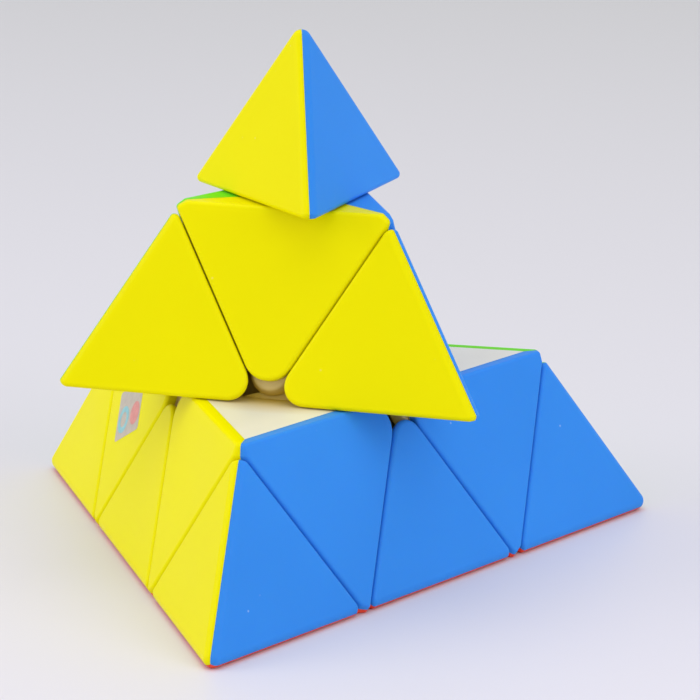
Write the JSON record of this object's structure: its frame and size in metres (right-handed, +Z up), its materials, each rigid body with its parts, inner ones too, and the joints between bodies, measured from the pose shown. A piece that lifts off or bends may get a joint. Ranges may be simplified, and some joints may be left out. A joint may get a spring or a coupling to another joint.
{
  "type": "pyramid twisty puzzle",
  "caption": "Four-sided turning puzzle: coloured tips, axial corners and edge pieces that turn about a hidden four-armed core.",
  "frame": {"origin": "centre of the core, where the four turning axes meet, 20.0 mm above the base", "axes": "+Z up through the top tip; the front tip points along -Y (azimuth -90 degrees), the right tip to azimuth 30 and the left tip to azimuth 150"},
  "size_m": [0.094, 0.0897, 0.0772],
  "materials": {
    "yellow_shell": "satin moulded plastic, bright yellow",
    "blue_shell": "satin moulded plastic, mid blue",
    "green_shell": "satin moulded plastic, bright green",
    "red_shell": "satin moulded plastic, bright red",
    "pale_body": "smooth off-white moulded plastic",
    "steel": "plain steel screw, washer and spring wire"
  },
  "bodies": {
    "core_frame": {"front_corner_body": "pale_body", "front_corner_red_cap": "red_shell", "front_corner_yellow_cap": "yellow_shell", "front_corner_blue_cap": "blue_shell", "right_corner_body": "pale_body", "right_corner_red_cap": "red_shell", "right_corner_green_cap": "green_shell", "right_corner_blue_cap": "blue_shell", "left_corner_body": "pale_body", "left_corner_red_cap": "red_shell", "left_corner_green_cap": "green_shell", "left_corner_yellow_cap": "yellow_shell", "front_right_edge_body": "pale_body", "front_right_edge_red_cap": "red_shell", "front_right_edge_blue_cap": "blue_shell", "right_left_edge_body": "pale_body", "right_left_edge_red_cap": "red_shell", "right_left_edge_green_cap": "green_shell", "left_front_edge_body": "pale_body", "left_front_edge_red_cap": "red_shell", "left_front_edge_yellow_cap": "yellow_shell", "core": "pale_body", "core_screws": "steel", "core_washers": "steel", "core_springs": "steel"},
    "top_layer": {"top_corner_body": "pale_body", "top_corner_green_cap": "green_shell", "top_corner_yellow_cap": "yellow_shell", "top_corner_blue_cap": "blue_shell", "top_front_edge_body": "pale_body", "top_front_edge_yellow_cap": "yellow_shell", "top_front_edge_blue_cap": "blue_shell", "top_right_edge_body": "pale_body", "top_right_edge_green_cap": "green_shell", "top_right_edge_blue_cap": "blue_shell", "top_left_edge_body": "pale_body", "top_left_edge_green_cap": "green_shell", "top_left_edge_yellow_cap": "yellow_shell"},
    "top_tip": {"top_tip_base": "pale_body", "top_tip_green_cap": "green_shell", "top_tip_yellow_cap": "yellow_shell", "top_tip_blue_cap": "blue_shell"},
    "front_tip": {"front_tip_base": "pale_body", "front_tip_red_cap": "red_shell", "front_tip_yellow_cap": "yellow_shell", "front_tip_blue_cap": "blue_shell"},
    "right_tip": {"right_tip_base": "pale_body", "right_tip_red_cap": "red_shell", "right_tip_green_cap": "green_shell", "right_tip_blue_cap": "blue_shell"},
    "left_tip": {"left_tip_base": "pale_body", "left_tip_red_cap": "red_shell", "left_tip_green_cap": "green_shell", "left_tip_yellow_cap": "yellow_shell"}
  },
  "joints": [
    {"name": "top_layer_turn", "type": "hinge", "parent": "core_frame", "child": "top_layer", "pos_m": [0, 0, 0], "axis": [0, 0, 1], "continuous": true},
    {"name": "top_tip_turn", "type": "hinge", "parent": "top_layer", "child": "top_tip", "pos_m": [0, 0, 0], "axis": [0, 0, 1], "continuous": true},
    {"name": "front_tip_turn", "type": "hinge", "parent": "core_frame", "child": "front_tip", "pos_m": [0, 0, 0], "axis": [0, -0.9428, -0.3333], "continuous": true},
    {"name": "right_tip_turn", "type": "hinge", "parent": "core_frame", "child": "right_tip", "pos_m": [0, 0, 0], "axis": [0.8165, 0.4714, -0.3333], "continuous": true},
    {"name": "left_tip_turn", "type": "hinge", "parent": "core_frame", "child": "left_tip", "pos_m": [0, 0, 0], "axis": [-0.8165, 0.4714, -0.3333], "continuous": true}
  ]
}
